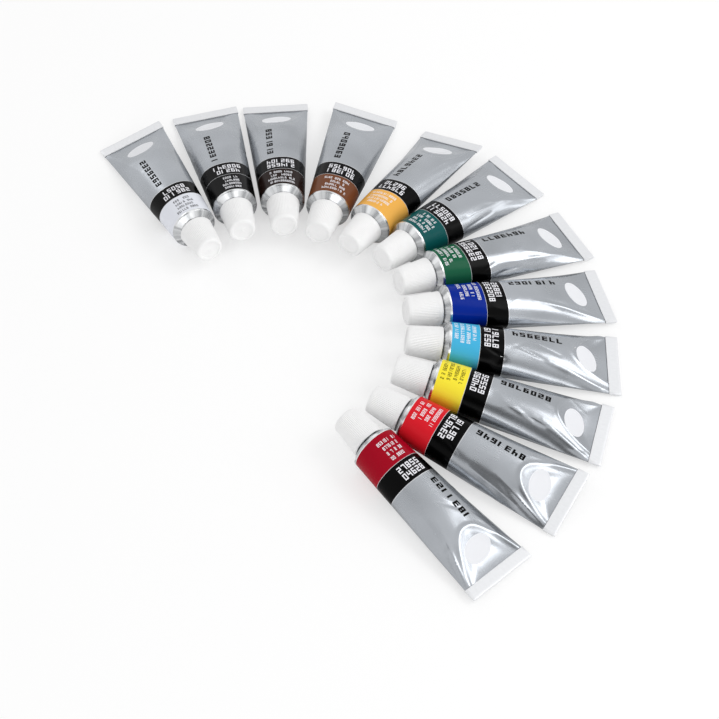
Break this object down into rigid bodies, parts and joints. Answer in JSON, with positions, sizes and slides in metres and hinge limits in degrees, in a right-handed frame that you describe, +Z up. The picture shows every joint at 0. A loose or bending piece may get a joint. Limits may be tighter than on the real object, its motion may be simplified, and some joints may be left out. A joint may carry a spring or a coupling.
{
  "type": "gouache paint tube set",
  "caption": "Set of small aluminium paint tubes fanned out on a table, each with a folded crimp, a coloured label band and a ribbed white screw cap that unscrews.",
  "frame": {"origin": "on the table under the middle of the fan's box", "axes": "+Z up from the table, +Y towards the far tubes in the picture, +X to its right"},
  "size_m": [0.2242, 0.2616, 0.019],
  "materials": {
    "printed_aluminium": "satin foil, printed in a colour band and a black band",
    "cap_plastic": "moulded polypropylene, fine ribs",
    "liner_foam": "dense foam disc",
    "white_paint": "wet gouache paint",
    "black_paint": "wet gouache paint",
    "burnt_umber_paint": "wet gouache paint",
    "burnt_sienna_paint": "wet gouache paint",
    "yellow_ochre_paint": "wet gouache paint",
    "viridian_paint": "wet gouache paint",
    "sap_green_paint": "wet gouache paint",
    "ultramarine_paint": "wet gouache paint",
    "sky_blue_paint": "wet gouache paint",
    "lemon_yellow_paint": "wet gouache paint",
    "vermilion_paint": "wet gouache paint",
    "crimson_paint": "wet gouache paint"
  },
  "bodies": {
    "white_tube": {"white_tube": "printed_aluminium", "white_paint": "white_paint"},
    "white_liner": {"white_cap_liner": "liner_foam"},
    "white_cap": {"white_cap": "cap_plastic"},
    "black_tube": {"black_tube": "printed_aluminium", "black_paint": "black_paint"},
    "black_liner": {"black_cap_liner": "liner_foam"},
    "black_cap": {"black_cap": "cap_plastic"},
    "burnt_umber_tube": {"burnt_umber_tube": "printed_aluminium", "burnt_umber_paint": "burnt_umber_paint"},
    "burnt_umber_liner": {"burnt_umber_cap_liner": "liner_foam"},
    "burnt_umber_cap": {"burnt_umber_cap": "cap_plastic"},
    "burnt_sienna_tube": {"burnt_sienna_tube": "printed_aluminium", "burnt_sienna_paint": "burnt_sienna_paint"},
    "burnt_sienna_liner": {"burnt_sienna_cap_liner": "liner_foam"},
    "burnt_sienna_cap": {"burnt_sienna_cap": "cap_plastic"},
    "yellow_ochre_tube": {"yellow_ochre_tube": "printed_aluminium", "yellow_ochre_paint": "yellow_ochre_paint"},
    "yellow_ochre_liner": {"yellow_ochre_cap_liner": "liner_foam"},
    "yellow_ochre_cap": {"yellow_ochre_cap": "cap_plastic"},
    "viridian_tube": {"viridian_tube": "printed_aluminium", "viridian_paint": "viridian_paint"},
    "viridian_liner": {"viridian_cap_liner": "liner_foam"},
    "viridian_cap": {"viridian_cap": "cap_plastic"},
    "sap_green_tube": {"sap_green_tube": "printed_aluminium", "sap_green_paint": "sap_green_paint"},
    "sap_green_liner": {"sap_green_cap_liner": "liner_foam"},
    "sap_green_cap": {"sap_green_cap": "cap_plastic"},
    "ultramarine_tube": {"ultramarine_tube": "printed_aluminium", "ultramarine_paint": "ultramarine_paint"},
    "ultramarine_liner": {"ultramarine_cap_liner": "liner_foam"},
    "ultramarine_cap": {"ultramarine_cap": "cap_plastic"},
    "sky_blue_tube": {"sky_blue_tube": "printed_aluminium", "sky_blue_paint": "sky_blue_paint"},
    "sky_blue_liner": {"sky_blue_cap_liner": "liner_foam"},
    "sky_blue_cap": {"sky_blue_cap": "cap_plastic"},
    "lemon_yellow_tube": {"lemon_yellow_tube": "printed_aluminium", "lemon_yellow_paint": "lemon_yellow_paint"},
    "lemon_yellow_liner": {"lemon_yellow_cap_liner": "liner_foam"},
    "lemon_yellow_cap": {"lemon_yellow_cap": "cap_plastic"},
    "vermilion_tube": {"vermilion_tube": "printed_aluminium", "vermilion_paint": "vermilion_paint"},
    "vermilion_liner": {"vermilion_cap_liner": "liner_foam"},
    "vermilion_cap": {"vermilion_cap": "cap_plastic"},
    "crimson_tube": {"crimson_tube": "printed_aluminium", "crimson_paint": "crimson_paint"},
    "crimson_liner": {"crimson_cap_liner": "liner_foam"},
    "crimson_cap": {"crimson_cap": "cap_plastic"}
  },
  "joints": [
    {"name": "white_lift_out", "type": "slide", "parent": "sky_blue_tube", "child": "white_tube", "axis": [0, 0, 1], "range_m": [0, 0.12]},
    {"name": "white_cap_travel", "type": "slide", "parent": "white_tube", "child": "white_liner", "axis": [0.4875, -0.8687, 0.0883], "range_m": [0, 0.008]},
    {"name": "white_cap_turn", "type": "hinge", "parent": "white_liner", "child": "white_cap", "pos_m": [-0.05687, 0.02871, 0.01094], "axis": [0.4875, -0.8687, 0.0883], "range_deg": [0, 1440]},
    {"name": "black_lift_out", "type": "slide", "parent": "sky_blue_tube", "child": "black_tube", "axis": [0, 0, 1], "range_m": [0, 0.12]},
    {"name": "black_cap_travel", "type": "slide", "parent": "black_tube", "child": "black_liner", "axis": [0.2682, -0.9562, 0.1174], "range_m": [0, 0.008]},
    {"name": "black_cap_turn", "type": "hinge", "parent": "black_liner", "child": "black_cap", "pos_m": [-0.04396, 0.03974, 0.0114], "axis": [0.2682, -0.9562, 0.1174], "range_deg": [0, 1440]},
    {"name": "burnt_umber_lift_out", "type": "slide", "parent": "sky_blue_tube", "child": "burnt_umber_tube", "axis": [0, 0, 1], "range_m": [0, 0.12]},
    {"name": "burnt_umber_cap_travel", "type": "slide", "parent": "burnt_umber_tube", "child": "burnt_umber_liner", "axis": [0.0991, -0.9875, 0.1228], "range_m": [0, 0.008]},
    {"name": "burnt_umber_cap_turn", "type": "hinge", "parent": "burnt_umber_liner", "child": "burnt_umber_cap", "pos_m": [-0.02658, 0.04324, 0.01148], "axis": [0.0991, -0.9875, 0.1228], "range_deg": [0, 1440]},
    {"name": "burnt_sienna_lift_out", "type": "slide", "parent": "sky_blue_tube", "child": "burnt_sienna_tube", "axis": [0, 0, 1], "range_m": [0, 0.12]},
    {"name": "burnt_sienna_cap_travel", "type": "slide", "parent": "burnt_sienna_tube", "child": "burnt_sienna_liner", "axis": [-0.2204, -0.9709, 0.0938], "range_m": [0, 0.008]},
    {"name": "burnt_sienna_cap_turn", "type": "hinge", "parent": "burnt_sienna_liner", "child": "burnt_sienna_cap", "pos_m": [-0.01235, 0.0399, 0.01103], "axis": [-0.2204, -0.9709, 0.0938], "range_deg": [0, 1440]},
    {"name": "yellow_ochre_lift_out", "type": "slide", "parent": "sky_blue_tube", "child": "yellow_ochre_tube", "axis": [0, 0, 1], "range_m": [0, 0.12]},
    {"name": "yellow_ochre_cap_travel", "type": "slide", "parent": "yellow_ochre_tube", "child": "yellow_ochre_liner", "axis": [-0.5265, -0.846, 0.0848], "range_m": [0, 0.008]},
    {"name": "yellow_ochre_cap_turn", "type": "hinge", "parent": "yellow_ochre_liner", "child": "yellow_ochre_cap", "pos_m": [0.00073, 0.03365, 0.01088], "axis": [-0.5265, -0.846, 0.0848], "range_deg": [0, 1440]},
    {"name": "viridian_lift_out", "type": "slide", "parent": "sky_blue_tube", "child": "viridian_tube", "axis": [0, 0, 1], "range_m": [0, 0.12]},
    {"name": "viridian_cap_travel", "type": "slide", "parent": "viridian_tube", "child": "viridian_liner", "axis": [-0.7018, -0.7041, 0.1083], "range_m": [0, 0.008]},
    {"name": "viridian_cap_turn", "type": "hinge", "parent": "viridian_liner", "child": "viridian_cap", "pos_m": [0.01444, 0.02563, 0.01125], "axis": [-0.7018, -0.7041, 0.1083], "range_deg": [0, 1440]},
    {"name": "sap_green_lift_out", "type": "slide", "parent": "sky_blue_tube", "child": "sap_green_tube", "axis": [0, 0, 1], "range_m": [0, 0.12]},
    {"name": "sap_green_cap_travel", "type": "slide", "parent": "sap_green_tube", "child": "sap_green_liner", "axis": [-0.8839, -0.4512, 0.1228], "range_m": [0, 0.008]},
    {"name": "sap_green_cap_turn", "type": "hinge", "parent": "sap_green_liner", "child": "sap_green_cap", "pos_m": [0.0214, 0.0129, 0.01148], "axis": [-0.8839, -0.4512, 0.1228], "range_deg": [0, 1440]},
    {"name": "ultramarine_lift_out", "type": "slide", "parent": "sky_blue_tube", "child": "ultramarine_tube", "axis": [0, 0, 1], "range_m": [0, 0.12]},
    {"name": "ultramarine_cap_travel", "type": "slide", "parent": "ultramarine_tube", "child": "ultramarine_liner", "axis": [-0.9659, -0.2288, 0.121], "range_m": [0, 0.008]},
    {"name": "ultramarine_cap_turn", "type": "hinge", "parent": "ultramarine_liner", "child": "ultramarine_cap", "pos_m": [0.02441, -0.00254, 0.01145], "axis": [-0.9659, -0.2288, 0.121], "range_deg": [0, 1440]},
    {"name": "sky_blue_cap_travel", "type": "slide", "parent": "sky_blue_tube", "child": "sky_blue_liner", "axis": [-0.9917, 0.022, 0.1265], "range_m": [0, 0.008]},
    {"name": "sky_blue_cap_turn", "type": "hinge", "parent": "sky_blue_liner", "child": "sky_blue_cap", "pos_m": [0.02464, -0.01789, 0.01154], "axis": [-0.9917, 0.022, 0.1265], "range_deg": [0, 1440]},
    {"name": "lemon_yellow_lift_out", "type": "slide", "parent": "sky_blue_tube", "child": "lemon_yellow_tube", "axis": [0, 0, 1], "range_m": [0, 0.12]},
    {"name": "lemon_yellow_cap_travel", "type": "slide", "parent": "lemon_yellow_tube", "child": "lemon_yellow_liner", "axis": [-0.9583, 0.2582, 0.1228], "range_m": [0, 0.008]},
    {"name": "lemon_yellow_cap_turn", "type": "hinge", "parent": "lemon_yellow_liner", "child": "lemon_yellow_cap", "pos_m": [0.02006, -0.0328, 0.01148], "axis": [-0.9583, 0.2582, 0.1228], "range_deg": [0, 1440]},
    {"name": "vermilion_lift_out", "type": "slide", "parent": "sky_blue_tube", "child": "vermilion_tube", "axis": [0, 0, 1], "range_m": [0, 0.12]},
    {"name": "vermilion_cap_travel", "type": "slide", "parent": "vermilion_tube", "child": "vermilion_liner", "axis": [-0.8718, 0.4793, 0.101], "range_m": [0, 0.008]},
    {"name": "vermilion_cap_turn", "type": "hinge", "parent": "vermilion_liner", "child": "vermilion_cap", "pos_m": [0.0116, -0.047, 0.01114], "axis": [-0.8718, 0.4793, 0.101], "range_deg": [0, 1440]},
    {"name": "crimson_lift_out", "type": "slide", "parent": "sky_blue_tube", "child": "crimson_tube", "axis": [0, 0, 1], "range_m": [0, 0.12]},
    {"name": "crimson_cap_travel", "type": "slide", "parent": "crimson_tube", "child": "crimson_liner", "axis": [-0.6773, 0.7263, 0.1174], "range_m": [0, 0.008]},
    {"name": "crimson_cap_turn", "type": "hinge", "parent": "crimson_liner", "child": "crimson_cap", "pos_m": [0.00146, -0.05731, 0.0114], "axis": [-0.6773, 0.7263, 0.1174], "range_deg": [0, 1440]}
  ],
  "couplings": [
    {"joint": "white_cap_turn", "follows": "white_cap_travel", "rad_per_m": 3141.6},
    {"joint": "black_cap_turn", "follows": "black_cap_travel", "rad_per_m": 3141.6},
    {"joint": "burnt_umber_cap_turn", "follows": "burnt_umber_cap_travel", "rad_per_m": 3141.6},
    {"joint": "burnt_sienna_cap_turn", "follows": "burnt_sienna_cap_travel", "rad_per_m": 3141.6},
    {"joint": "yellow_ochre_cap_turn", "follows": "yellow_ochre_cap_travel", "rad_per_m": 3141.6},
    {"joint": "viridian_cap_turn", "follows": "viridian_cap_travel", "rad_per_m": 3141.6},
    {"joint": "sap_green_cap_turn", "follows": "sap_green_cap_travel", "rad_per_m": 3141.6},
    {"joint": "ultramarine_cap_turn", "follows": "ultramarine_cap_travel", "rad_per_m": 3141.6},
    {"joint": "sky_blue_cap_turn", "follows": "sky_blue_cap_travel", "rad_per_m": 3141.6},
    {"joint": "lemon_yellow_cap_turn", "follows": "lemon_yellow_cap_travel", "rad_per_m": 3141.6},
    {"joint": "vermilion_cap_turn", "follows": "vermilion_cap_travel", "rad_per_m": 3141.6},
    {"joint": "crimson_cap_turn", "follows": "crimson_cap_travel", "rad_per_m": 3141.6}
  ]
}
